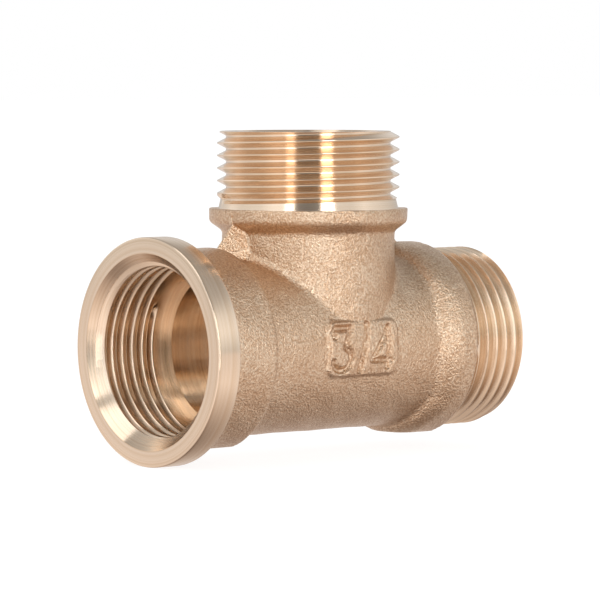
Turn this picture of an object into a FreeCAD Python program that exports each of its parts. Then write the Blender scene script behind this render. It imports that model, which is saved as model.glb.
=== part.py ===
import FreeCAD, Part
import math
import os

# Tee fitting, G 3/4: female end at -X, male end at +X, male branch up at +Z.
# The origin is where the run axis (X) and the branch axis (Z) cross. Millimetres.
# The fitting is one hot forging that is bored, turned and threaded. Each node is
# one zone of it, and neighbouring zones meet face to face without overlapping.

# G 3/4 thread (ISO 228), right hand
MAJOR_R = 13.22
MINOR_R = 12.06
PITCH = 1.8143
FLANK_TAN = math.tan(math.radians(27.5))
MALE_ROOT_R = 11.92
MALE_ROOT_FLAT = 0.30
FEMALE_CREST_FLAT = 0.30
CUTTER_MARGIN = 0.1
WALL_SECTORS = 6

# ends, measured from the crossing of the axes
SOCKET_FACE_X = -29.8
RUN_END_X = 30.8
BRANCH_END_Z = 30.8

# waterway
SOCKET_BORE_R = 10.5
SOCKET_FLOOR_X = -17.0
MALE_BORE_R = 9.75
BORE_STEP_X = 5.0
BORE_CHAMFER = 0.4

# forged barrel, neck and the swells at the barrel's two ends
BARREL_R = 12.6
NECK_R = 12.5
SADDLE_FILLET = 2.6
HUB_R = 14.4
HUB_END_X = -17.8
HUB_TOE_X = -15.4
SWELL_TOE_X = 14.0
SWELL_TOP_X = 17.4
SHOULDER_R = 14.3
SHOULDER_FACE_X = 20.5
SHOULDER_EDGE_R = 0.6
TRIM_FLAT_Z = -13.7

# collar under the branch thread
COLLAR_R = 14.4
COLLAR_TOP_Z = 19.65
COLLAR_LIP_Z = 17.75
COLLAR_TOE_Z = 16.4
COLLAR_FOOT_Z = 15.6
COLLAR_LIP_R = 0.5
COLLAR_TOE_R = 0.8
COLLAR_TOP_R = 0.2

# turned rim of the socket
RIM_R = 16.2
RIM_BACK_X = -25.9
RIM_EDGE_R = 0.25
LINER_R = 13.55
MOUTH_R = 13.9

# turned spigots
BAND_R = 13.0
BAND_LENGTH = 1.1
END_CHAMFER = 0.5

# where each thread groove runs out: its centre along the axis and its angle about it
BRANCH_RUNOUT = (21.18, 196.7)
RUN_RUNOUT = (20.75, -89.3)
SOCKET_RUNOUT = (-19.67, 120.5)

# webs on the parting plane, from the collar down to the barrel's swells
WEB_TOP = (14.35, 17.5)
WEB_FOOT = (16.9, 14.4)
WEB_DEPTH = 5.0
WEB_HALF_AT_RIDGE = 0.15
WEB_HALF_INSIDE = 2.3

# size mark: a raised pad with the characters sunk into it
PAD_CENTRE_X = -0.4
PAD_LENGTH = 12.8
PAD_HEIGHT = 7.8
PAD_CORNER_R = 1.1
PAD_FACE_R = 13.2
PAD_ROOT_Y = -10.0
MARK_DEPTH = 0.33
STROKE = 1.1

ORIGIN = FreeCAD.Vector(0, 0, 0)
AXIS_X = FreeCAD.Vector(1, 0, 0)
AXIS_Y = FreeCAD.Vector(0, 1, 0)
AXIS_Z = FreeCAD.Vector(0, 0, 1)
FAR = 60.0


def rounded_outline(corners):
    """A closed wire through (vector, corner radius) pairs, each corner rounded by its radius."""
    count = len(corners)
    legs = []
    for i, (point, radius) in enumerate(corners):
        before = (corners[i - 1][0] - point).normalize()
        after = (corners[(i + 1) % count][0] - point).normalize()
        half = before.getAngle(after) / 2
        reach = radius / math.tan(half)
        middle = (before + after).normalize()
        bulge = point + middle * (radius / math.sin(half) - radius)
        legs.append((point + before * reach, bulge, point + after * reach, radius))
    edges = []
    for i, (start, bulge, end, radius) in enumerate(legs):
        if radius > 0:
            edges.append(Part.Arc(start, bulge, end).toShape())
        following = legs[(i + 1) % count][0]
        edges.append(Part.makeLine(end, following))
    return Part.Wire(edges)


def section_x(profile):
    """A flat section of a shape about the run axis, from (x, radius[, rounding])."""
    corners = [(FreeCAD.Vector(p[0], 0, p[1]), p[2] if len(p) > 2 else 0) for p in profile]
    return Part.Face(rounded_outline(corners))


def section_z(profile):
    """A flat section of a shape about the branch axis, from (radius, z[, rounding])."""
    corners = [(FreeCAD.Vector(p[0], 0, p[1]), p[2] if len(p) > 2 else 0) for p in profile]
    return Part.Face(rounded_outline(corners))


def turned_x(profile):
    """A solid of revolution about the run axis."""
    return section_x(profile).revolve(ORIGIN, AXIS_X, 360)


def turned_z(profile):
    """A solid of revolution about the branch axis."""
    return section_z(profile).revolve(ORIGIN, AXIS_Z, 360)


def split_round_z(shape, first_angle):
    """The same solid with every wall split into equal sectors about Z, from an angle on."""
    step = 360.0 / WALL_SECTORS
    pieces = []
    for i in range(WALL_SECTORS):
        wedge = Part.makeCylinder(FAR, 2 * FAR, FreeCAD.Vector(0, 0, -FAR), AXIS_Z, step)
        wedge.rotate(ORIGIN, AXIS_Z, i * step + first_angle)
        pieces.append(shape.common(wedge))
    return pieces[0].fuse(pieces[1:]).Solids[0]


def laid_along_x(shape):
    """A shape built along +Z, turned so that it lies along +X."""
    turned = shape.copy()
    turned.rotate(ORIGIN, AXIS_Y, 90)
    return turned


def slab(axis, low, high):
    """All space between two planes square to X or Z."""
    size = [2 * FAR, 2 * FAR, 2 * FAR]
    corner = [-FAR, -FAR, -FAR]
    size[axis] = high - low
    corner[axis] = low
    return Part.makeBox(size[0], size[1], size[2], FreeCAD.Vector(*corner))


def helical_cutter(section, start_z, end_z, angle):
    """A right-hand helical sweep about Z of a section, from start_z at the given angle."""
    path = Part.makeHelix(PITCH, end_z - start_z, MAJOR_R)
    path.translate(FreeCAD.Vector(0, 0, start_z))
    points = [FreeCAD.Vector(r, 0, start_z + z) for r, z in section]
    outline = Part.makePolygon(points + points[:1])
    sweep = Part.Wire(path).makePipeShell([outline], True, True)
    sweep.rotate(ORIGIN, AXIS_Z, angle)
    return sweep


def male_section():
    """The groove of a male thread, as (radius, z) pairs around its centre."""
    root = MALE_ROOT_FLAT / 2
    outer = MAJOR_R + CUTTER_MARGIN
    half = root + (outer - MALE_ROOT_R) * FLANK_TAN
    return [(MALE_ROOT_R, -root), (outer, -half), (outer, half), (MALE_ROOT_R, root)]


def female_section():
    """The groove of a female thread, as (radius, z) pairs around its centre."""
    at_crest = (PITCH - FEMALE_CREST_FLAT) / 2
    at_root = at_crest - (MAJOR_R - MINOR_R) * FLANK_TAN
    inner = MINOR_R - CUTTER_MARGIN
    at_inner = at_crest + CUTTER_MARGIN * FLANK_TAN
    return [(inner, -at_inner), (MAJOR_R, -at_root), (MAJOR_R, at_root), (inner, at_inner)]


def spigot(foot_z, end_z, runout):
    """A male threaded tube standing on foot_z, with a plain band under its thread."""
    spare = end_z + 3 * PITCH
    band_end = foot_z + BAND_LENGTH
    tube = turned_z([
        (MALE_BORE_R, foot_z), (BAND_R, foot_z), (BAND_R, band_end),
        (MAJOR_R, band_end), (MAJOR_R, spare), (MALE_BORE_R, spare),
    ])
    chamfer_foot = end_z - END_CHAMFER - PITCH
    finished = turned_z([
        (0, foot_z), (MAJOR_R + PITCH, foot_z), (MAJOR_R + PITCH, chamfer_foot),
        (MAJOR_R - END_CHAMFER, end_z), (MALE_BORE_R + BORE_CHAMFER, end_z),
        (0, end_z - BORE_CHAMFER - MALE_BORE_R),
    ])
    groove = helical_cutter(male_section(), runout[0], end_z + PITCH, runout[1])
    return split_round_z(tube.cut(groove).common(finished), runout[1])


def branch_thread():
    """Male thread of the branch."""
    return spigot(COLLAR_TOP_Z, BRANCH_END_Z, BRANCH_RUNOUT)


def run_thread():
    """Male thread of the run."""
    return laid_along_x(spigot(SHOULDER_FACE_X, RUN_END_X, RUN_RUNOUT))


def socket_thread():
    """Female thread of the run, cut into the inside of the hub."""
    turns = math.ceil((SOCKET_RUNOUT[0] - SOCKET_FACE_X) / PITCH) + 1
    start = SOCKET_RUNOUT[0] - turns * PITCH
    spare = start - PITCH
    liner = turned_z([
        (MINOR_R, spare), (LINER_R, spare), (LINER_R, SOCKET_FLOOR_X), (MINOR_R, SOCKET_FLOOR_X),
    ])
    reach = MOUTH_R - MINOR_R + PITCH
    finished = turned_z([
        (MOUTH_R - reach, SOCKET_FACE_X + reach),
        (MOUTH_R, SOCKET_FACE_X),
        (MOUTH_R, SOCKET_FLOOR_X),
        (MOUTH_R - reach, SOCKET_FLOOR_X),
    ])
    groove = helical_cutter(female_section(), start, SOCKET_RUNOUT[0], SOCKET_RUNOUT[1])
    threaded = liner.cut(groove).common(finished)
    return laid_along_x(split_round_z(threaded, SOCKET_RUNOUT[1]))


def socket_rim():
    """Turned bead round the mouth of the socket."""
    return turned_x([
        (SOCKET_FACE_X, MOUTH_R),
        (SOCKET_FACE_X, RIM_R, RIM_EDGE_R),
        (RIM_BACK_X, RIM_R, RIM_EDGE_R),
        (RIM_BACK_X, LINER_R),
        (SOCKET_FACE_X + MOUTH_R - LINER_R, LINER_R),
    ])


def socket_hub():
    """Forged wall round the female thread."""
    return turned_x([
        (RIM_BACK_X, LINER_R),
        (RIM_BACK_X, HUB_R),
        (HUB_END_X, HUB_R),
        (HUB_END_X, LINER_R),
    ])


def waterway():
    """What the run's and the branch's bores remove."""
    run = turned_x([
        (HUB_END_X - PITCH, 0),
        (HUB_END_X - PITCH, LINER_R),
        (SOCKET_FLOOR_X, LINER_R),
        (SOCKET_FLOOR_X, SOCKET_BORE_R),
        (BORE_STEP_X, SOCKET_BORE_R),
        (BORE_STEP_X, MALE_BORE_R),
        (FAR, MALE_BORE_R),
        (FAR, 0),
    ])
    return run.fuse(Part.makeCylinder(MALE_BORE_R, FAR))


def swell(toe_x, top_x, toe_r, top_r):
    """A ring that rises from the barrel to a larger radius in a smooth S."""
    middle = FreeCAD.Vector((toe_x + top_x) / 2, 0, (toe_r + top_r) / 2)
    length = top_x - toe_x
    rise = top_r - toe_r
    bend = (length ** 2 + rise ** 2) / (4 * rise)
    turn = math.asin(abs(length) / 2 / bend) / 2
    side = math.copysign(1.0, length)
    dx = side * bend * math.sin(turn)
    dr = bend * (1 - math.cos(turn))
    toe = FreeCAD.Vector(toe_x, 0, toe_r)
    top = FreeCAD.Vector(top_x, 0, top_r)
    lower = Part.Arc(toe, toe + FreeCAD.Vector(dx, 0, dr), middle).toShape()
    upper = Part.Arc(middle, top - FreeCAD.Vector(dx, 0, dr), top).toShape()
    top_in = FreeCAD.Vector(top_x, 0, LINER_R - MINOR_R)
    toe_in = FreeCAD.Vector(toe_x, 0, LINER_R - MINOR_R)
    rest = [Part.makeLine(top, top_in), Part.makeLine(top_in, toe_in), Part.makeLine(toe_in, toe)]
    return Part.Face(Part.Wire([lower, upper] + rest)).revolve(ORIGIN, AXIS_X, 360)


def is_saddle(edge):
    """Whether an edge is part of the crossing curve of barrel and neck."""
    box = edge.BoundBox
    return box.ZMin > 0.1 and box.ZMax < COLLAR_TOE_Z - 1 and box.XLength > NECK_R


def forged_outside():
    """Solid outside of the forging from the hub to the shoulder, with no bores."""
    barrel = Part.makeCylinder(BARREL_R, FAR, FreeCAD.Vector(-FAR / 2, 0, 0), AXIS_X)
    cross = barrel.fuse(Part.makeCylinder(NECK_R, COLLAR_FOOT_Z)).removeSplitter()
    cross = cross.makeFillet(SADDLE_FILLET, [e for e in cross.Edges if is_saddle(e)])
    cross = cross.common(slab(0, HUB_END_X, SWELL_TOP_X))
    hub_swell = swell(HUB_TOE_X, HUB_END_X, BARREL_R, HUB_R)
    shoulder_swell = swell(SWELL_TOE_X, SWELL_TOP_X, BARREL_R, SHOULDER_R)
    return cross.fuse(hub_swell).fuse(shoulder_swell).Solids[0]


def below_trim():
    """Space under the flat where the flash is trimmed at the male end."""
    return Part.makeBox(
        FAR, 2 * FAR, FAR, FreeCAD.Vector(0, -FAR, TRIM_FLAT_Z - FAR))


def forged_body(outside):
    """Barrel and neck crossing in a filleted saddle, with the waterways through it."""
    return outside.cut(waterway()).cut(below_trim()).Solids[0]


def run_shoulder():
    """Forged shoulder behind the male thread of the run."""
    ring = turned_x([
        (SWELL_TOP_X, MALE_BORE_R),
        (SWELL_TOP_X, SHOULDER_R),
        (SHOULDER_FACE_X, SHOULDER_R, SHOULDER_EDGE_R),
        (SHOULDER_FACE_X, MALE_BORE_R),
    ])
    return ring.cut(below_trim())


def branch_collar():
    """Forged collar under the branch thread, tapering down to the neck."""
    return turned_z([
        (MALE_BORE_R, COLLAR_FOOT_Z),
        (NECK_R, COLLAR_FOOT_Z),
        (NECK_R, COLLAR_TOE_Z, COLLAR_TOE_R),
        (COLLAR_R, COLLAR_LIP_Z, COLLAR_LIP_R),
        (COLLAR_R, COLLAR_TOP_Z, COLLAR_TOP_R),
        (MALE_BORE_R, COLLAR_TOP_Z),
    ])


def web(side, neighbours):
    """Thin web on the parting plane, a prism that runs down along its sloping ridge."""
    slope = (WEB_FOOT[0] - WEB_TOP[0]) / (WEB_TOP[1] - WEB_FOOT[1])
    high = COLLAR_LIP_Z + 1
    low = BARREL_R - 1
    ridge = WEB_TOP[0] - slope * (high - WEB_TOP[1])
    inside = ridge - WEB_DEPTH
    points = [
        FreeCAD.Vector(side * ridge, -WEB_HALF_AT_RIDGE, high),
        FreeCAD.Vector(side * ridge, WEB_HALF_AT_RIDGE, high),
        FreeCAD.Vector(side * inside, WEB_HALF_INSIDE, high),
        FreeCAD.Vector(side * inside, -WEB_HALF_INSIDE, high),
    ]
    outline = Part.Face(Part.makePolygon(points + points[:1]))
    prism = outline.extrude(FreeCAD.Vector(side * slope * (high - low), 0, low - high))
    for neighbour in neighbours:
        prism = prism.cut(neighbour)
    return max(prism.Solids, key=lambda s: s.Volume)


def stroke(points):
    """A bar of the stroke's width along a polyline of (x, z) points, round at its joints."""
    pieces = []
    for (x0, z0), (x1, z1) in zip(points[:-1], points[1:]):
        length = math.hypot(x1 - x0, z1 - z0)
        bar = Part.makeBox(length, FAR, STROKE, FreeCAD.Vector(0, PAD_ROOT_Y - FAR, -STROKE / 2))
        bar.rotate(ORIGIN, AXIS_Y, -math.degrees(math.atan2(z1 - z0, x1 - x0)))
        bar.translate(FreeCAD.Vector(x0, 0, z0))
        pieces.append(bar)
    for x, z in points:
        pieces.append(Part.makeCylinder(
            STROKE / 2, FAR, FreeCAD.Vector(x, PAD_ROOT_Y, z), FreeCAD.Vector(0, -1, 0)))
    return pieces[0].fuse(pieces[1:])


def bowl(centre, radius, start, end, steps):
    """Points along an arc, angles in degrees."""
    points = []
    for i in range(steps + 1):
        angle = math.radians(start + (end - start) * i / steps)
        points.append((centre[0] + radius * math.cos(angle), centre[1] + radius * math.sin(angle)))
    return points


def three_quarters():
    """Centre lines of the characters 3, / and 4, around the middle of the barrel."""
    flag = [(-5.8, 2.2), (-5.6, 2.85), (-2.85, 2.9), (-3.75, 0.6)]
    lower = bowl((-4.45, -1.35), 1.6, 68, -165, 8)
    slash = [(-1.05, -3.2), (0.3, 3.2)]
    four = [(4.15, -2.8), (4.3, 2.75), (1.2, -1.4), (5.1, -1.4)]
    return [flag + lower, slash, four]


def around_run(radius):
    """A cylinder on the run's axis, as long as the pad is wide on both sides."""
    start = PAD_CENTRE_X - PAD_LENGTH
    return Part.makeCylinder(radius, 2 * PAD_LENGTH, FreeCAD.Vector(start, 0, 0), AXIS_X)


def size_pad(neighbours):
    """Raised pad on the -Y side, curved like the barrel, with the size sunk into its face."""
    half_x = PAD_LENGTH / 2
    half_z = PAD_HEIGHT / 2
    corners = [
        (FreeCAD.Vector(PAD_CENTRE_X + sx * half_x, PAD_ROOT_Y - FAR, sz * half_z), PAD_CORNER_R)
        for sx, sz in ((-1, -1), (1, -1), (1, 1), (-1, 1))
    ]
    pad = Part.Face(rounded_outline(corners)).extrude(FreeCAD.Vector(0, FAR, 0))
    pad = pad.common(around_run(PAD_FACE_R)).cut(neighbours[0])
    mark_floor = around_run(PAD_FACE_R - MARK_DEPTH)
    for line in three_quarters():
        pad = pad.cut(stroke(line).cut(mark_floor))
    return max(pad.Solids, key=lambda s: s.Volume)


def main():
    os.makedirs("parts", exist_ok=True)
    outside = forged_outside()
    body = forged_body(outside)
    hub = socket_hub()
    collar = branch_collar()
    shoulder = run_shoulder()
    core = Part.makeCylinder(NECK_R, BRANCH_END_Z)
    nodes = {
        "forged_body": body,
        "socket_hub": hub,
        "socket_rim": socket_rim(),
        "socket_thread": socket_thread(),
        "branch_collar": collar,
        "branch_thread": branch_thread(),
        "run_shoulder": shoulder,
        "run_thread": run_thread(),
        "socket_side_web": web(-1, [core, collar, hub, outside]),
        "male_side_web": web(1, [core, collar, shoulder, outside]),
        "size_pad": size_pad([outside]),
    }
    for name, shape in nodes.items():
        shape.exportStep("parts/" + name + ".step")


main()
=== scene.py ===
import math

import bmesh
import bpy
import numpy as np
from mathutils import Matrix, Vector


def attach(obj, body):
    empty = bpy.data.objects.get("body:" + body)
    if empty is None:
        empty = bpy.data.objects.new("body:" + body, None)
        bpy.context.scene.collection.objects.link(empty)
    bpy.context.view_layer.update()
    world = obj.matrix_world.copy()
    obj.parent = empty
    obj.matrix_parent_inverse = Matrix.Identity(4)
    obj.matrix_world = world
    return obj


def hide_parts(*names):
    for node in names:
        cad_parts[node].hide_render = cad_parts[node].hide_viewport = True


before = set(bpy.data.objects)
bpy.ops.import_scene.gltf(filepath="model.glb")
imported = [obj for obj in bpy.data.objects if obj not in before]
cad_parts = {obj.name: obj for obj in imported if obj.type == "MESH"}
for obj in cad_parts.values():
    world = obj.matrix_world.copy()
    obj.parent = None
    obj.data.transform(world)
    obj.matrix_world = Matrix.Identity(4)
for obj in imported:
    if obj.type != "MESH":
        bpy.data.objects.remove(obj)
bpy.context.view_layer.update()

# Tee fitting, G 3/4, in brass. The run lies along X with its female end at -X and its
# male end at +X; the branch stands up along Z. Sizes here are in millimetres, and every
# mesh is turned to metres as it is made.
MM = 0.001

# In these names R is a radius, EDGE a rounded edge's radius, FILLET a hollow corner's
# radius, HALF half a width, and X, Y or Z a place along that axis.

# G 3/4 thread, right hand
MAJOR_R = 13.22
MINOR_R = 12.06
PITCH = 1.8143
FLANK_TAN = math.tan(math.radians(27.5))
MALE_ROOT_R = 11.92
MALE_ROOT_HALF = 0.15
FEMALE_CREST_HALF = 0.36
# the tool's nose rounds the profile's corners; the rounding is a mean of this many samples
TOOL_NOSE = 0.05
NOSE_SAMPLES = 9

# turned and bored zones
SOCKET_FACE_X = -29.8
RUN_END_X = 30.8
BRANCH_END_Z = 30.8
SOCKET_BORE_R = 10.5
SOCKET_FLOOR_X = -17.0
MALE_BORE_R = 9.75
BORE_STEP_X = 5.0
BORE_CHAMFER = 0.4
RIM_R = 16.2
RIM_BACK_X = -25.9
RIM_EDGE = 0.25
RIM_STEPS = 4
LINER_R = 13.55
# the wall behind the thread narrows to the socket's floor, inside the hub's slope
LINER_TAPER = ((-18.6, 13.55), (-17.0, 12.4))
MOUTH_R = 13.9
SINK_END_R = 8.0
# plain band at each male end's foot: radius at its foot and where it is narrowest, then
# how far up that is and where it has risen to the thread's crest
BRANCH_BAND = ((13.05, 12.72), (1.35, 1.85))
RUN_BAND = ((12.85, 12.8), (0.65, 1.0))
END_CHAMFER = 0.5
# how far pieces reach into each other, cutting tools stay clear of a surface, and tools
# stick out past a face and past the fitting's ends
TUCK = 0.05
CLEAR = 0.02
PAST_FACE = 2.0
PAST_ENDS = 32.0

# where each thread groove runs out: along its axis, and the angle about it in degrees;
# the groove deepens over RUNOUT_RAMP degrees
BRANCH_RUNOUT = (20.95, 150.0)
RUN_RUNOUT = (20.75, -89.3)
SOCKET_RUNOUT = (-19.67, 120.5)
RUNOUT_RAMP = 12.0

# forged zones; a ramp goes between two points, each a place along the axis and a radius
BARREL_R = 12.6
BARREL_END_X = 17.0
NECK_R = 12.5
NECK_TOP_Z = 18.0
SADDLE_FILLET = 1.3
HUB_R = 14.4
HUB_RAMP = ((-17.8, 14.4), (-16.7, 12.6))
HUB_EDGE = 0.25
HUB_FILLET = 0.3
SHOULDER_R = 14.3
SHOULDER_RAMP = ((14.5, 12.6), (16.5, 14.3))
# at the bottom, where the flat was trimmed, the ramp starts earlier by the droop
SHOULDER_DROOP = 1.5
DROOP_FROM_Z = -8.0
DROOP_TO_Z = -13.0
SHOULDER_EDGE = 1.0
SHOULDER_FACE_EDGE = 0.35
SHOULDER_FILLET = 0.35
SHOULDER_FACE_X = 20.5
TRIM_FLAT_Z = -13.7
TRIM_EDGE = 0.12
COLLAR_R = 14.4
COLLAR_RAMP = ((16.4, 12.5), (17.75, 14.4))
COLLAR_TOP_Z = 19.65
COLLAR_EDGE = 0.4
COLLAR_TOP_EDGE = 0.12
COLLAR_FILLET = 0.28
# webs on the parting plane: the ridge goes between two (x, z) points, and the flare is
# how much a side spreads per millimetre of depth
WEB_RIDGE = ((14.35, 17.5), (16.9, 14.4))
WEB_FLARE = 0.43
WEB_HALF = 0.15
WEB_EDGE = 0.05
WEB_FILLET = 0.38
WEB_END_X = 18.5
WEB_LOW_Z = 2.0
WEB_HIGH_Z = 19.0
# trace of flash that stands on the collar, on the parting plane
FIN_HALF = 0.15
FIN_HEIGHT = 0.2
FIN_FILLET = 0.06
FIN_LOW_Z = 16.8
FIN_HIGH_Z = 19.3
# slow waves of the forged skin; they die away over FADE before the shoulder's face
UNEVENNESS = 0.035
SMOOTH_NEAR_FACE = 0.6
FADE = 2.0
# faces that lie deeper than this under the forged skin were machined
MACHINED_DEPTH = 0.12

# the pad with the size mark, curved like the barrel; flares as for the webs
PAD_CENTRE_X = -0.4
PAD_HALF_X = 6.2
PAD_HALF_Z = 3.75
PAD_CORNER = 1.0
PAD_FACE_R = 13.12
PAD_FLARE = 0.75
PAD_EDGE = 0.10
PAD_FILLET = 0.2
PAD_ROOT_Y = -9.0
MARK_DEPTH = 0.6
MARK_FLARE = 0.8
MARK_EDGE = 0.07
STROKE_HALF = 0.64
BOWL_POINTS = 12

# how finely the meshes follow the surfaces; creases in degrees
NET_LOW = (-26.6, -15.6, -15.0)
NET_HIGH = (21.6, 15.6, 20.8)
NET_STEP = 0.36
SETTLING_ROUNDS = 5
THREAD_ROWS = 24
THREAD_COLUMNS = 180
RING_STEPS = 240
FORGED_CREASE = 50
TURNED_CREASE = 32
WELD = 0.0005
GRADIENT_REACH = 0.02
# where the forging's net is made finer: round the pad, the webs and the fins
PAD_FRONT_Y = -11.0
PAD_MARGIN = 0.9
WEB_NEAR_X = 10.5
WEB_NEAR_Y = 4.5
WEB_NEAR_Z = 13.0
FIN_NEAR_X = 14.0
FIN_NEAR_Y = 0.7
FIN_NEAR_Z = 16.4

# pattern sizes and depths of the surfaces
DENT_SIZE = 0.30
DENT_GROUP = 1.1
DENT_DEPTH = 0.19
OXIDE_PATCH = 6.0
TOOL_MARK = 0.4
TOOL_WAVE = 1.6
TOOL_MARK_DEPTH = 0.010

# studio: angles in degrees, the camera and floor in millimetres
CAMERA_AZIMUTH = -40.3
CAMERA_ELEVATION = 3.27
CAMERA_DISTANCE = 575.5
CAMERA_TARGET = (-1.57, 0, 6.35)
CAMERA_LENS = 238.5
CAMERA_SENSOR = 36
CAMERA_CLIP_END = 50000
FLOOR_HALF = 6000


# --- surface of the forging, as a distance field ---------------------------------

def joined(a, b, fillet):
    """Two solids as one, with a hollow fillet of that radius where they meet."""
    corner = np.hypot(np.maximum(fillet - a, 0), np.maximum(fillet - b, 0))
    return np.maximum(fillet, np.minimum(a, b)) - corner


def trimmed(a, b, edge):
    """What two solids share, with its edge rounded to that radius."""
    corner = np.hypot(np.maximum(edge + a, 0), np.maximum(edge + b, 0))
    return np.minimum(-edge, np.maximum(a, b)) + corner


def slope(u, v, line):
    """Distance from a straight line, positive on the left of its direction."""
    (pu, pv), (qu, qv) = line
    length = math.hypot(qu - pu, qv - pv)
    return ((qu - pu) * (v - pv) - (qv - pv) * (u - pu)) / length


def stroke(x, z, points):
    """Distance from a line through the points."""
    best = None
    for (ax, az), (bx, bz) in zip(points, points[1:]):
        ex, ez = bx - ax, bz - az
        t = np.clip(((x - ax) * ex + (z - az) * ez) / (ex * ex + ez * ez), 0, 1)
        d = np.hypot(x - ax - ex * t, z - az - ez * t)
        best = d if best is None else np.minimum(best, d)
    return best


def bowl(centre_x, centre_z, radius, start, end):
    """Points along an arc, angles in degrees."""
    angles = np.radians(np.linspace(start, end, BOWL_POINTS))
    return [(centre_x + radius * math.cos(a), centre_z + radius * math.sin(a)) for a in angles]


# centre lines of the size mark's figures, as (x, z) points
THREE = [
    [(-5.95, 1.8), (-6.15, 2.4), (-5.6, 2.9), (-2.85, 2.95), (-3.75, 0.75)],
    bowl(-4.55, -1.35, 1.7, 72, -165),
]
SLASH = [[(-1.05, -3.2), (0.3, 3.3)]]
FOUR = [[(4.15, -2.8), (4.3, 2.75), (1.2, -1.75), (4.55, -1.9)]]


def size_pad(x, round_x, y, z):
    """The raised pad, with its sloped sides."""
    qx = np.abs(x - PAD_CENTRE_X) - PAD_HALF_X + PAD_CORNER
    qz = np.abs(z) - PAD_HALF_Z + PAD_CORNER
    outline = np.hypot(np.maximum(qx, 0), np.maximum(qz, 0)) - PAD_CORNER
    outline += np.minimum(np.maximum(qx, qz), 0)
    below_face = PAD_FACE_R - round_x
    wall = (outline - PAD_FLARE * below_face) / math.hypot(1, PAD_FLARE)
    return np.maximum(trimmed(wall, -below_face, PAD_EDGE), y - PAD_ROOT_Y)


def size_mark(x, round_x, y, z):
    """The groove of the size mark, with its sloped sides."""
    below_face = PAD_FACE_R - round_x
    line = np.min([stroke(x, z, points) for points in THREE + SLASH + FOUR], axis=0)
    wall = (line - STROKE_HALF + MARK_FLARE * below_face) / math.hypot(1, MARK_FLARE)
    return np.maximum(np.maximum(wall, below_face - MARK_DEPTH), y - PAD_ROOT_Y)


def webs(x, y, z):
    """The two webs on the parting plane, from the run's ends up to the collar."""
    depth = slope(np.abs(x), z, WEB_RIDGE)
    side = (np.abs(y) - WEB_HALF + WEB_FLARE * depth) / math.hypot(1, WEB_FLARE)
    ends = np.maximum(np.abs(x) - WEB_END_X, z - WEB_HIGH_Z)
    web = np.maximum(trimmed(depth, side, WEB_EDGE), ends)
    return np.maximum(web, WEB_LOW_Z - z)


def fins(y, z, collar):
    """The flash trace, which follows the collar's outline."""
    fin = np.maximum(np.abs(y) - FIN_HALF, collar - FIN_HEIGHT)
    return np.maximum(fin, np.maximum(FIN_LOW_Z - z, z - FIN_HIGH_Z))


def forging(p):
    """Signed distance from the outside of the forging, in millimetres."""
    x, y, z = p[..., 0], p[..., 1], p[..., 2]
    round_x = np.hypot(y, z)
    round_z = np.hypot(x, y)
    unevenness = UNEVENNESS * (
        np.sin(0.55 * x + 0.9 * z + 1.0) * np.sin(0.7 * y - 0.45 * z + 0.4)
        + 0.7 * np.sin(1.3 * x - 0.8 * y + 2.0) * np.sin(1.1 * z + 0.9 * y)
    )
    barrel = np.maximum(round_x - BARREL_R, np.abs(x) - BARREL_END_X)
    neck = np.maximum(np.maximum(round_z - NECK_R, z - NECK_TOP_Z), -z)
    # the two cylinders touch without an edge at the front and back, so no fillet there
    saddle = SADDLE_FILLET * np.clip(1 - y * y / (round_x * round_z + 0.01), 0, 1)
    body = joined(barrel, neck, saddle)
    hub = trimmed(slope(x, round_x, HUB_RAMP), round_x - HUB_R, HUB_EDGE)
    hub = np.maximum(hub, RIM_BACK_X - TUCK - x)
    droop = SHOULDER_DROOP * np.clip((DROOP_FROM_Z - z) / (DROOP_FROM_Z - DROOP_TO_Z), 0, 1)
    shoulder = slope(x + droop, round_x, SHOULDER_RAMP)
    shoulder = trimmed(shoulder, round_x - SHOULDER_R, SHOULDER_EDGE)
    shoulder = trimmed(shoulder, x - SHOULDER_FACE_X, SHOULDER_FACE_EDGE)
    collar = trimmed(slope(z, round_z, COLLAR_RAMP), round_z - COLLAR_R, COLLAR_EDGE)
    collar = trimmed(collar, z - COLLAR_TOP_Z, COLLAR_TOP_EDGE)
    body = joined(body, hub, HUB_FILLET)
    body = joined(body, shoulder, SHOULDER_FILLET)
    body = joined(body, collar, COLLAR_FILLET)
    body = joined(body, webs(x, y, z), WEB_FILLET)
    body = joined(body, fins(y, z, collar), FIN_FILLET)
    body = joined(body, size_pad(x, round_x, y, z), PAD_FILLET)
    body = trimmed(body, -size_mark(x, round_x, y, z), MARK_EDGE)
    body = trimmed(body, TRIM_FLAT_Z - z, TRIM_EDGE)
    return body + unevenness * np.clip((SHOULDER_FACE_X - SMOOTH_NEAR_FACE - x) / FADE, 0, 1)


def gradient(field, p):
    """Direction in which the field grows, at each point."""
    out = np.empty_like(p)
    for axis in range(3):
        step = np.zeros(3)
        step[axis] = GRADIENT_REACH
        out[..., axis] = (field(p + step) - field(p - step)) / (2 * GRADIENT_REACH)
    return out


def settle(field, p, rounds):
    """Moves points onto the surface of the field."""
    for _ in range(rounds):
        g = gradient(field, p)
        size = np.maximum((g * g).sum(-1), 0.25)
        p = p - g * (field(p) / size)[..., None]
    return p


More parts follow.
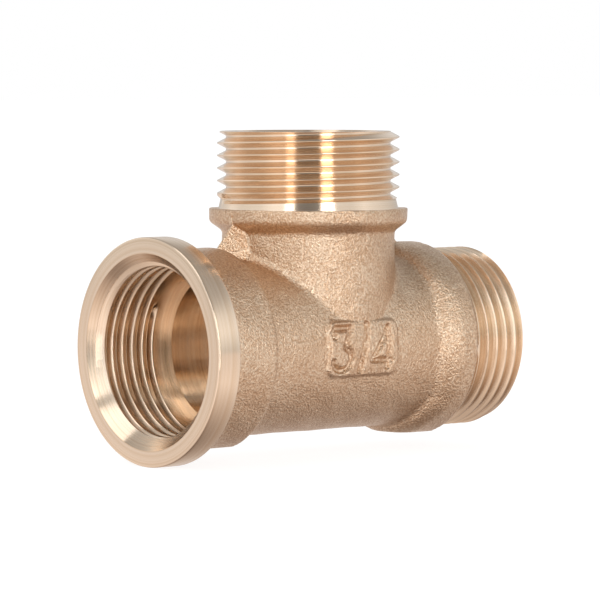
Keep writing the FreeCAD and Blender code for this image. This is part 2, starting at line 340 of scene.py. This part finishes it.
def surface_net(field, low, high, step):
    """A mesh of four-sided faces round the inside of the field."""
    axes = [np.arange(a, b + step, step) for a, b in zip(low, high)]
    grid = np.stack(np.meshgrid(*axes, indexing="ij"), -1)
    value = np.stack([field(plane) for plane in grid])
    cells = tuple(n - 1 for n in value.shape)
    total = np.zeros(cells + (3,))
    count = np.zeros(cells)
    crossings = []
    for axis in range(3):
        ends = [slice(None)] * 3
        starts = [slice(None)] * 3
        starts[axis] = slice(None, -1)
        ends[axis] = slice(1, None)
        a, b = value[tuple(starts)], value[tuple(ends)]
        cross = (a < 0) != (b < 0)
        t = np.where(cross, a / np.where(cross, a - b, 1), 0)
        where = grid[tuple(starts)].copy()
        where[..., axis] += t * step
        others = [o for o in range(3) if o != axis]
        for first in (0, 1):
            for second in (0, 1):
                pick = [slice(None)] * 3
                pick[others[0]] = slice(first, first + cells[others[0]])
                pick[others[1]] = slice(second, second + cells[others[1]])
                hit = cross[tuple(pick)]
                total += where[tuple(pick)] * hit[..., None]
                count += hit
        crossings.append((cross, a < 0, others))
    used = count > 0
    number = np.full(cells, -1)
    number[used] = np.arange(used.sum())
    points = total[used] / count[used][:, None]
    faces = []
    for axis, (cross, inside, others) in enumerate(crossings):
        i, j, k = np.nonzero(cross)
        at = np.stack([i, j, k], -1)
        back = np.zeros((2, 3), int)
        back[0, others[0]] = 1
        back[1, others[1]] = 1
        ring = [at - back[0] - back[1], at - back[1], at, at - back[0]]
        quad = np.stack([number[tuple(r.T)] for r in ring], -1)
        flip = inside[i, j, k] == (axis == 1)
        quad[flip] = quad[flip][:, ::-1]
        faces.append(quad)
    return points, np.concatenate(faces)


# --- mesh helpers ------------------------------------------------------------------

def piece_from(name, points, faces):
    """A new piece from points in millimetres."""
    mesh = bpy.data.meshes.new(name)
    mesh.from_pydata((np.asarray(points, float) * MM).tolist(), [], [list(f) for f in faces])
    mesh.validate()
    piece = bpy.data.objects.new(name, mesh)
    bpy.context.scene.collection.objects.link(piece)
    return piece


def lay_along_x(points):
    """Turns points built round Z so that they lie along the run."""
    p = np.asarray(points, float)
    return np.stack([p[:, 2], p[:, 1], -p[:, 0]], -1)


def revolved(profile):
    """A solid turned about Z from a closed profile of (along, radius) pairs."""
    points = []
    rings = []
    for along, radius in profile:
        if radius == 0:
            rings.append([len(points)] * RING_STEPS)
            points.append((0, 0, along))
            continue
        rings.append(list(range(len(points), len(points) + RING_STEPS)))
        for step in range(RING_STEPS):
            angle = 2 * math.pi * step / RING_STEPS
            points.append((radius * math.cos(angle), radius * math.sin(angle), along))
    faces = []
    for a, b in zip(rings, rings[1:] + rings[:1]):
        for i in range(RING_STEPS):
            j = (i + 1) % RING_STEPS
            corners = [a[i], a[j], b[j], b[i]]
            corners = [c for n, c in enumerate(corners) if c != corners[n - 1]]
            if len(corners) > 2:
                faces.append(corners)
    return np.array(points), faces


def threaded_rod(radius_at, runout, low, high, goes_up):
    """A rod with a helical groove, whose faces follow the helix. Its groove runs out at
    the given place: it goes up from there, or down."""
    start_z, start_angle = runout
    first_turn = math.floor((low - start_z) / PITCH) - 2
    last_turn = math.ceil((high - start_z) / PITCH) + 2
    rows = (last_turn - first_turn) * THREAD_ROWS
    points = np.empty((rows + 1, THREAD_COLUMNS, 3))
    for row in range(rows + 1):
        turn, part = divmod(row, THREAD_ROWS)
        offset = PITCH * part / THREAD_ROWS
        groove = first_turn + turn + (1 if offset > PITCH / 2 else 0)
        from_centre = min(offset, PITCH - offset)
        share = np.arange(THREAD_COLUMNS) / THREAD_COLUMNS
        along = (share + groove) * 360 * (1 if goes_up else -1)
        depth = np.clip(along / RUNOUT_RAMP, 0, 1)
        radius = radius_at(from_centre, depth)
        angle = np.radians(start_angle) + 2 * math.pi * share
        points[row, :, 0] = radius * np.cos(angle)
        points[row, :, 1] = radius * np.sin(angle)
        points[row, :, 2] = start_z + (first_turn + turn) * PITCH + offset + PITCH * share
    flat = [tuple(p) for p in points.reshape(-1, 3)]
    number = np.arange((rows + 1) * THREAD_COLUMNS).reshape(rows + 1, THREAD_COLUMNS)
    faces = []
    for row in range(rows):
        for column in range(THREAD_COLUMNS - 1):
            faces.append([number[row, column], number[row, column + 1],
                          number[row + 1, column + 1], number[row + 1, column]])
    last = THREAD_COLUMNS - 1
    for row in range(rows - THREAD_ROWS):
        faces.append([number[row, last], number[row + THREAD_ROWS, 0],
                      number[row + THREAD_ROWS + 1, 0], number[row + 1, last]])
    bottom = [number[0, c] for c in range(THREAD_COLUMNS)]
    bottom += [number[r, 0] for r in range(THREAD_ROWS, 0, -1)]
    top = [number[rows, c] for c in range(THREAD_COLUMNS)]
    top = [number[r, last] for r in range(rows - THREAD_ROWS, rows)] + top[::-1]
    for loop, z in ((bottom[::-1], points[0, 0, 2]), (top[::-1], points[rows, 0, 2] + PITCH)):
        apex = len(flat)
        flat.append((0, 0, z))
        for a, b in zip(loop, loop[1:] + loop[:1]):
            faces.append([a, b, apex])
    return np.array(flat), faces


def rounded_by_tool(radius_at_offset, offset):
    """The profile's radius with its corners rounded by the tool's nose."""
    reach = np.linspace(-TOOL_NOSE, TOOL_NOSE, NOSE_SAMPLES)
    return float(np.mean([radius_at_offset(abs(offset + r)) for r in reach]))


def male_radius(offset, depth):
    """Radius of a male thread at a distance from its groove's centre."""
    def sharp(s):
        s = min(s, PITCH - s)
        return min(MAJOR_R, MALE_ROOT_R + max(0, s - MALE_ROOT_HALF) / FLANK_TAN)
    return MAJOR_R - depth * (MAJOR_R - rounded_by_tool(sharp, offset))


def female_radius(offset, depth):
    """Radius of a female thread's wall at a distance from its groove's centre."""
    def sharp(s):
        s = min(s, PITCH - s)
        wall = MINOR_R + max(0, PITCH / 2 - FEMALE_CREST_HALF - s) / FLANK_TAN
        return min(MAJOR_R, wall)
    return MINOR_R + depth * (rounded_by_tool(sharp, offset) - MINOR_R)


def combine(piece, tool, operation):
    """Cuts a piece with a tool, or keeps what they share, and removes the tool."""
    step = piece.modifiers.new(operation.lower(), "BOOLEAN")
    step.operation = operation
    step.object = tool
    step.solver = "MANIFOLD"
    bpy.context.view_layer.update()
    shaped = piece.evaluated_get(bpy.context.evaluated_depsgraph_get())
    mesh = bpy.data.meshes.new_from_object(shaped)
    mesh.name = piece.name
    mesh.materials.clear()
    piece.modifiers.clear()
    piece.data = mesh
    bpy.data.objects.remove(tool)


def make_smooth(piece, crease_angle):
    """Smooth shading, with a sharp edge wherever the surface turns by more than that."""
    bm = bmesh.new()
    bm.from_mesh(piece.data)
    bmesh.ops.remove_doubles(bm, verts=bm.verts, dist=WELD * MM)
    limit = math.radians(crease_angle)
    for face in bm.faces:
        face.smooth = True
    for edge in bm.edges:
        edge.smooth = edge.calc_face_angle(0) < limit
    bm.to_mesh(piece.data)
    bm.free()


# --- materials ---------------------------------------------------------------------

def linear(hex_colour):
    """An sRGB hex colour as linear light."""
    parts = [int(hex_colour[i:i + 2], 16) / 255 for i in (1, 3, 5)]
    parts = [c / 12.92 if c <= 0.04045 else ((c + 0.055) / 1.055) ** 2.4 for c in parts]
    return (*parts, 1.0)


def grey(level):
    """A neutral grey of that linear light."""
    return (level, level, level, 1.0)


def per_mm(size):
    """Pattern scale for a feature of that size in millimetres."""
    return 1 / (size * MM)


def node(tree, kind, settings=None, links=None):
    """Adds a node, sets its properties and sockets, and links its inputs."""
    made = tree.nodes.new(kind)
    for key, value in (settings or {}).items():
        if isinstance(key, str) and hasattr(made, key):
            setattr(made, key, value)
        else:
            made.inputs[key].default_value = value
    for key, source in (links or {}).items():
        tree.links.new(source, made.inputs[key])
    return made


def new_material(name):
    """A material with an empty node tree, and that tree."""
    material = bpy.data.materials.new(name)
    material.use_nodes = True
    material.node_tree.nodes.clear()
    return material, material.node_tree


def ramp(tree, source, stops):
    """A colour ramp; stops are (position, colour) pairs."""
    made = node(tree, "ShaderNodeValToRGB", {}, {"Fac": source})
    band = made.color_ramp
    while len(band.elements) < len(stops):
        band.elements.new(0.5)
    for element, (position, colour) in zip(band.elements, stops):
        element.position = position
        element.color = colour
    return made


def shot_blasted_brass():
    """Hot forged brass, shot blasted: a satin skin of tiny dents, each of which catches
    the light on its own, so the surface glitters evenly and has no clear reflection."""
    material, tree = new_material("shot_blasted_forged_brass")
    place = node(tree, "ShaderNodeTexCoord").outputs["Object"]
    # shot of 0.2 to 0.4 mm leaves dents about as wide
    dents = node(tree, "ShaderNodeTexNoise",
                 {"Scale": per_mm(DENT_SIZE), "Detail": 2.0, "Roughness": 0.6},
                 {"Vector": place})
    coarse = node(tree, "ShaderNodeTexNoise",
                  {"Scale": per_mm(DENT_GROUP), "Detail": 2.0, "Roughness": 0.5},
                  {"Vector": place})
    # patches a few millimetres wide where the oxide was thicker
    patches = node(tree, "ShaderNodeTexNoise",
                   {"Scale": per_mm(OXIDE_PATCH), "Detail": 3.0, "Roughness": 0.5},
                   {"Vector": place})
    tone = node(tree, "ShaderNodeMath", {"operation": "MULTIPLY_ADD", 1: 0.25},
                {0: patches.outputs["Fac"], 2: dents.outputs["Fac"]})
    colour = ramp(tree, tone.outputs[0], [
        (0.38, linear("#BE9A7B")), (0.58, linear("#D6B596")), (0.78, linear("#EDD6BC"))])
    height = node(tree, "ShaderNodeMath", {"operation": "MULTIPLY_ADD", 1: 0.45},
                  {0: coarse.outputs["Fac"], 2: dents.outputs["Fac"]})
    bump = node(tree, "ShaderNodeBump", {"Strength": 1.0, "Distance": DENT_DEPTH * MM},
                {"Height": height.outputs[0]})
    shader = node(tree, "ShaderNodeBsdfPrincipled", {"Metallic": 1.0, "Roughness": 0.29},
                  {"Base Color": colour.outputs["Color"], "Normal": bump.outputs["Normal"]})
    node(tree, "ShaderNodeOutputMaterial", {}, {"Surface": shader.outputs["BSDF"]})
    return material


def turned_brass(name, axis, smoothest, roughest):
    """Free-cutting brass, turned or bored: bright metal with fine tool marks that run
    round the axis, so highlights smear across the marks and look like stacked threads."""
    material, tree = new_material(name)
    place = node(tree, "ShaderNodeTexCoord").outputs["Object"]
    split = node(tree, "ShaderNodeSeparateXYZ", {}, {0: place})
    along = split.outputs[axis]
    across = node(tree, "ShaderNodeCombineXYZ", {},
                  {0: split.outputs["Y"], 1: split.outputs["Z" if axis == "X" else "X"]})
    radius = node(tree, "ShaderNodeVectorMath", {"operation": "LENGTH"},
                  {0: across.outputs[0]})
    turned = node(tree, "ShaderNodeCombineXYZ", {}, {0: along, 1: radius.outputs["Value"]})
    # a feed of 0.1 mm is too fine to show, so the marks are drawn wider, on a slow wave
    fine = node(tree, "ShaderNodeTexNoise",
                {"Scale": per_mm(TOOL_MARK), "Detail": 2.0, "Roughness": 0.6},
                {"Vector": turned.outputs[0]})
    wide = node(tree, "ShaderNodeTexNoise",
                {"Scale": per_mm(TOOL_WAVE), "Detail": 2.0, "Roughness": 0.5},
                {"Vector": turned.outputs[0]})
    height = node(tree, "ShaderNodeMath", {"operation": "MULTIPLY_ADD", 1: 0.6},
                  {0: wide.outputs["Fac"], 2: fine.outputs["Fac"]})
    bump = node(tree, "ShaderNodeBump", {"Strength": 1.0, "Distance": TOOL_MARK_DEPTH * MM},
                {"Height": height.outputs[0]})
    colour = ramp(tree, fine.outputs["Fac"], [
        (0.30, linear("#E3C9AD")), (0.52, linear("#EED8C0")), (0.75, linear("#F4E3CF"))])
    rough = node(tree, "ShaderNodeMapRange",
                 {"From Min": 0.3, "From Max": 0.7, "To Min": smoothest, "To Max": roughest},
                 {"Value": wide.outputs["Fac"]})
    tangent = node(tree, "ShaderNodeTangent", {"direction_type": "RADIAL", "axis": axis})
    shader = node(tree, "ShaderNodeBsdfPrincipled",
                  {"Metallic": 1.0, "Anisotropic": 0.85, "Anisotropic Rotation": 0.25},
                  {"Base Color": colour.outputs["Color"], "Normal": bump.outputs["Normal"],
                   "Roughness": rough.outputs["Result"],
                   "Tangent": tangent.outputs["Tangent"]})
    node(tree, "ShaderNodeOutputMaterial", {}, {"Surface": shader.outputs["BSDF"]})
    return material


# --- pieces ------------------------------------------------------------------------

def near_detail(centre, level):
    """Whether a face is near enough to a detail to be divided: the first time round the
    pad and the webs, the second time round the pad and the fins."""
    x, y, z = centre[0] / MM, centre[1] / MM, centre[2] / MM
    on_pad = (y < PAD_FRONT_Y and abs(x - PAD_CENTRE_X) < PAD_HALF_X + PAD_MARGIN
              and abs(z) < PAD_HALF_Z + PAD_MARGIN)
    on_fin = abs(x) > FIN_NEAR_X and abs(y) < FIN_NEAR_Y and z > FIN_NEAR_Z
    if level == 2:
        return on_pad or on_fin
    on_web = WEB_NEAR_X < abs(x) < WEB_END_X and abs(y) < WEB_NEAR_Y and z > WEB_NEAR_Z
    return on_pad or on_web


def refined(piece, field):
    """Divides the faces near details and settles all points on the field's surface."""
    bm = bmesh.new()
    bm.from_mesh(piece.data)
    for level in (1, 2):
        edges = {e for f in bm.faces if near_detail(f.calc_center_median(), level)
                 for e in f.edges}
        bmesh.ops.subdivide_edges(bm, edges=list(edges), cuts=1, use_grid_fill=True)
    bmesh.ops.triangulate(bm, faces=[f for f in bm.faces if len(f.verts) > 4])
    bm.to_mesh(piece.data)
    bm.free()
    co = np.empty(len(piece.data.vertices) * 3)
    piece.data.vertices.foreach_get("co", co)
    co = settle(field, co.reshape(-1, 3) / MM, SETTLING_ROUNDS) * MM
    piece.data.vertices.foreach_set("co", co.ravel())
    piece.data.update()


def forged_skin(materials):
    """The forging's whole outside, with the waterway bored through it."""
    points, faces = surface_net(forging, NET_LOW, NET_HIGH, NET_STEP)
    piece = piece_from("forging", points, faces)
    refined(piece, forging)
    bore, bore_faces = revolved([
        (-PAST_ENDS, 0), (-PAST_ENDS, LINER_R - CLEAR), (LINER_TAPER[0][0], LINER_R - CLEAR),
        (SOCKET_FLOOR_X, LINER_TAPER[1][1] - CLEAR), (SOCKET_FLOOR_X, SOCKET_BORE_R),
        (BORE_STEP_X, SOCKET_BORE_R), (BORE_STEP_X, MALE_BORE_R),
        (PAST_ENDS, MALE_BORE_R), (PAST_ENDS, 0)])
    combine(piece, piece_from("run_bore", lay_along_x(bore), bore_faces), "DIFFERENCE")
    bore, bore_faces = revolved([
        (0, 0), (0, MALE_BORE_R), (PAST_ENDS, MALE_BORE_R), (PAST_ENDS, 0)])
    combine(piece, piece_from("branch_bore", bore, bore_faces), "DIFFERENCE")
    make_smooth(piece, FORGED_CREASE)
    for material in materials:
        piece.data.materials.append(material)
    centres = np.array([f.center for f in piece.data.polygons]) / MM
    machined = (forging(centres) < -MACHINED_DEPTH).astype(int)
    piece.data.polygons.foreach_set("material_index", machined)
    return piece


def spigot(name, foot, end, band, runout, along_x, material):
    """A male threaded end with its plain band, bored through."""
    points, faces = threaded_rod(male_radius, runout, foot, end, True)
    if along_x:
        points = lay_along_x(points)
    piece = piece_from(name, points, faces)
    (foot_r, narrow_r), (narrow, wide) = band
    envelope, env_faces = revolved([
        (foot - TUCK, MALE_BORE_R), (foot - TUCK, foot_r), (foot + narrow, narrow_r),
        (foot + wide, MAJOR_R + CLEAR), (end - END_CHAMFER - CLEAR, MAJOR_R + CLEAR),
        (end, MAJOR_R - END_CHAMFER), (end, MALE_BORE_R + BORE_CHAMFER),
        (end - BORE_CHAMFER, MALE_BORE_R)])
    if along_x:
        envelope = lay_along_x(envelope)
    combine(piece, piece_from(name + "_turning", envelope, env_faces), "INTERSECT")
    make_smooth(piece, TURNED_CREASE)
    piece.data.materials.append(material)
    return piece


def socket_end(material):
    """The female end: rim, countersunk mouth, thread and the plain wall behind it."""
    outline = [(SOCKET_FACE_X, 0), (SOCKET_FACE_X, RIM_R - RIM_EDGE)]
    for corner_x, first in ((SOCKET_FACE_X + RIM_EDGE, 180), (RIM_BACK_X - RIM_EDGE, 90)):
        for step in range(RIM_STEPS + 1):
            angle = math.radians(first - 90 / RIM_STEPS * step)
            radius = RIM_R - RIM_EDGE + RIM_EDGE * math.sin(angle)
            outline.append((corner_x + RIM_EDGE * math.cos(angle), radius))
    outline += [(RIM_BACK_X, LINER_R), *LINER_TAPER, (SOCKET_FLOOR_X, 0)]
    points, faces = revolved(outline)
    piece = piece_from("socket_end", lay_along_x(points), faces)
    plug, plug_faces = threaded_rod(
        female_radius, SOCKET_RUNOUT, SOCKET_FACE_X, SOCKET_FLOOR_X, False)
    combine(piece, piece_from("tap", lay_along_x(plug), plug_faces), "DIFFERENCE")
    # the countersink is a right-angled cone
    sink_end = SOCKET_FACE_X + (MOUTH_R - SINK_END_R)
    before_face = SOCKET_FACE_X - PAST_FACE
    sink, sink_faces = revolved([
        (before_face, 0), (before_face, MOUTH_R), (SOCKET_FACE_X, MOUTH_R),
        (sink_end, SINK_END_R), (sink_end, 0)])
    combine(piece, piece_from("countersink", lay_along_x(sink), sink_faces), "DIFFERENCE")
    make_smooth(piece, TURNED_CREASE)
    piece.data.materials.append(material)
    return piece


run_brass = turned_brass("turned_brass_run", "X", 0.16, 0.26)
branch_brass = turned_brass("turned_brass_branch", "Z", 0.15, 0.24)
# the tap and the boring bar leave a duller finish than the die and the turning tool
bored_brass = turned_brass("bored_brass_socket", "X", 0.17, 0.29)
forged_brass = shot_blasted_brass()

forging_piece = forged_skin([forged_brass, run_brass])
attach(forging_piece, "root")
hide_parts("forged_body", "socket_hub", "branch_collar", "run_shoulder",
            "socket_side_web", "male_side_web", "size_pad")

socket_piece = socket_end(bored_brass)
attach(socket_piece, "root")
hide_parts("socket_rim", "socket_thread")

run_piece = spigot("run_end", SHOULDER_FACE_X, RUN_END_X, RUN_BAND, RUN_RUNOUT, True, run_brass)
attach(run_piece, "root")
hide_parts("run_thread")

branch_piece = spigot(
    "branch_end", COLLAR_TOP_Z, BRANCH_END_Z, BRANCH_BAND, BRANCH_RUNOUT, False, branch_brass)
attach(branch_piece, "root")
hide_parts("branch_thread")


# --- studio ------------------------------------------------------------------------

def floor():
    """A wide pale table top that the rim stands on. It is only seen and shadowed: the light
    it would throw back comes from the lower half of the studio walls."""
    low, high, z = -FLOOR_HALF, FLOOR_HALF, -RIM_R - CLEAR
    corners = [(low, low, z), (high, low, z), (high, high, z), (low, high, z)]
    piece = piece_from("floor", corners, [(0, 1, 2, 3)])
    material, tree = new_material("pale_table")
    shader = node(tree, "ShaderNodeBsdfPrincipled",
                  {"Base Color": grey(0.30), "Roughness": 0.9,
                   "Specular IOR Level": 0.1, "Emission Color": linear("#FFFFFF"),
                   "Emission Strength": 0.86})
    node(tree, "ShaderNodeOutputMaterial", {}, {"Surface": shader.outputs["BSDF"]})
    piece.data.materials.append(material)
    piece.visible_glossy = False
    piece.visible_diffuse = False


def toward(azimuth, elevation):
    """Unit direction from the fitting; azimuth 0 is -Y and 90 is +X."""
    a, e = math.radians(azimuth), math.radians(elevation)
    return np.array([math.sin(a) * math.cos(e), -math.cos(a) * math.cos(e), math.sin(e)])


def softbox(name, azimuth, elevation, distance, width, height, power):
    """A rectangular soft light that faces the fitting; metres and watts."""
    light = bpy.data.lights.new(name, "AREA")
    light.shape = "RECTANGLE"
    light.size = width
    light.size_y = height
    light.energy = power
    lamp = bpy.data.objects.new(name, light)
    bpy.context.scene.collection.objects.link(lamp)
    direction = toward(azimuth, elevation)
    lamp.location = direction * distance
    aim(lamp, direction)


def aim(thing, back):
    """Turns a lamp or camera, held upright, so that its back points that way."""
    z = Vector(back).normalized()
    x = Vector((0, 0, 1)).cross(z).normalized()
    y = z.cross(x)
    thing.rotation_euler = Matrix((x, y, z)).transposed().to_euler()


def camera():
    """A long lens at a slight height, from the female end's side."""
    data = bpy.data.cameras.new("camera")
    data.lens = CAMERA_LENS
    data.sensor_width = CAMERA_SENSOR
    data.clip_end = CAMERA_CLIP_END * MM
    made = bpy.data.objects.new("camera", data)
    bpy.context.scene.collection.objects.link(made)
    back = toward(CAMERA_AZIMUTH, CAMERA_ELEVATION)
    made.location = np.array(CAMERA_TARGET) * MM + back * CAMERA_DISTANCE * MM
    aim(made, back)
    bpy.context.scene.camera = made


def studio_walls():
    """The light that reaches the fitting from all round: a warm pale table below the
    horizon, walls that grow brighter to 16 degrees above it, a dimmer ceiling, and a dark
    gap where the camera stands. The camera itself sees white behind the fitting."""
    world = bpy.data.worlds.new("studio")
    bpy.context.scene.world = world
    world.use_nodes = True
    tree = world.node_tree
    tree.nodes.clear()
    way = node(tree, "ShaderNodeTexCoord").outputs["Generated"]
    split = node(tree, "ShaderNodeSeparateXYZ", {}, {0: way})
    height = node(tree, "ShaderNodeMapRange", {"From Min": -1.0, "From Max": 1.0},
                  {"Value": split.outputs["Z"]})
    # from straight down, through the horizon at 0.5, to straight up
    walls = ramp(tree, height.outputs["Result"], [
        (0.0, linear("#7E6E66")), (0.14, linear("#DCCCC2")), (0.30, (1.14, 1.04, 0.99, 1.0)),
        (0.496, (0.98, 0.91, 0.88, 1.0)), (0.504, grey(0.74)), (0.56, grey(0.92)),
        (0.64, grey(1.12)), (0.74, grey(0.98)), (0.84, grey(0.56)), (1.0, grey(0.50))])
    gap = toward(CAMERA_AZIMUTH, 0)
    flat = node(tree, "ShaderNodeCombineXYZ", {},
                {0: split.outputs["X"], 1: split.outputs["Y"]})
    ahead = node(tree, "ShaderNodeVectorMath", {"operation": "NORMALIZE"},
                 {0: flat.outputs[0]})
    facing = node(tree, "ShaderNodeVectorMath", {"operation": "DOT_PRODUCT", 1: tuple(gap)},
                  {0: ahead.outputs["Vector"]})
    dark = ramp(tree, facing.outputs["Value"], [
        (0.935, grey(0.0)), (0.955, grey(0.76)), (1.0, grey(0.80))])
    # the table in front of the camera stays lit
    upright = ramp(tree, height.outputs["Result"], [(0.32, grey(0.15)), (0.45, grey(1.0))])
    gap_depth = node(tree, "ShaderNodeMath", {"operation": "MULTIPLY"},
                     {0: dark.outputs["Color"], 1: upright.outputs["Color"]})
    kept = node(tree, "ShaderNodeMath", {"operation": "SUBTRACT", 0: 1.0},
                {1: gap_depth.outputs[0]})
    # brightest a little to the camera's left, and dimmest opposite that
    left = toward(-60, 0)
    leaning = node(tree, "ShaderNodeVectorMath", {"operation": "DOT_PRODUCT", 1: tuple(left)},
                   {0: ahead.outputs["Vector"]})
    turn = node(tree, "ShaderNodeMapRange", {"From Min": -1.0, "From Max": 1.0},
                {"Value": leaning.outputs["Value"]})
    side = ramp(tree, turn.outputs["Result"], [
        (0.0, grey(0.70)), (0.30, grey(0.86)), (0.42, grey(0.98)), (0.59, grey(0.80)),
        (0.84, grey(0.86)), (0.94, grey(1.12)), (1.0, grey(1.12))])
    level = node(tree, "ShaderNodeMath", {"operation": "MULTIPLY"},
                 {0: side.outputs["Color"], 1: kept.outputs[0]})
    lit = node(tree, "ShaderNodeVectorMath", {"operation": "SCALE"},
               {0: walls.outputs["Color"], "Scale": level.outputs[0]})
    seen = node(tree, "ShaderNodeLightPath").outputs["Is Camera Ray"]
    colour = node(tree, "ShaderNodeMix", {"data_type": "VECTOR"})
    tree.links.new(seen, colour.inputs[0])
    tree.links.new(lit.outputs["Vector"], colour.inputs[4])
    colour.inputs[5].default_value = (1, 1, 1)
    back = node(tree, "ShaderNodeBackground", {"Strength": 1.0},
                {"Color": colour.outputs[1]})
    node(tree, "ShaderNodeOutputWorld", {}, {"Surface": back.outputs[0]})


floor()
studio_walls()
camera()
softbox("left_of_camera", azimuth=CAMERA_AZIMUTH - 25, elevation=12, distance=1.3,
        width=0.26, height=1.2, power=1.7)
softbox("right_of_camera", azimuth=CAMERA_AZIMUTH + 26, elevation=12, distance=1.3,
        width=0.36, height=1.2, power=5.0)
softbox("overhead", azimuth=CAMERA_AZIMUTH - 60, elevation=62, distance=1.4,
        width=1.0, height=1.0, power=3.6)

bpy.context.scene.view_settings.view_transform = "Standard"
bpy.context.scene.view_settings.look = "None"
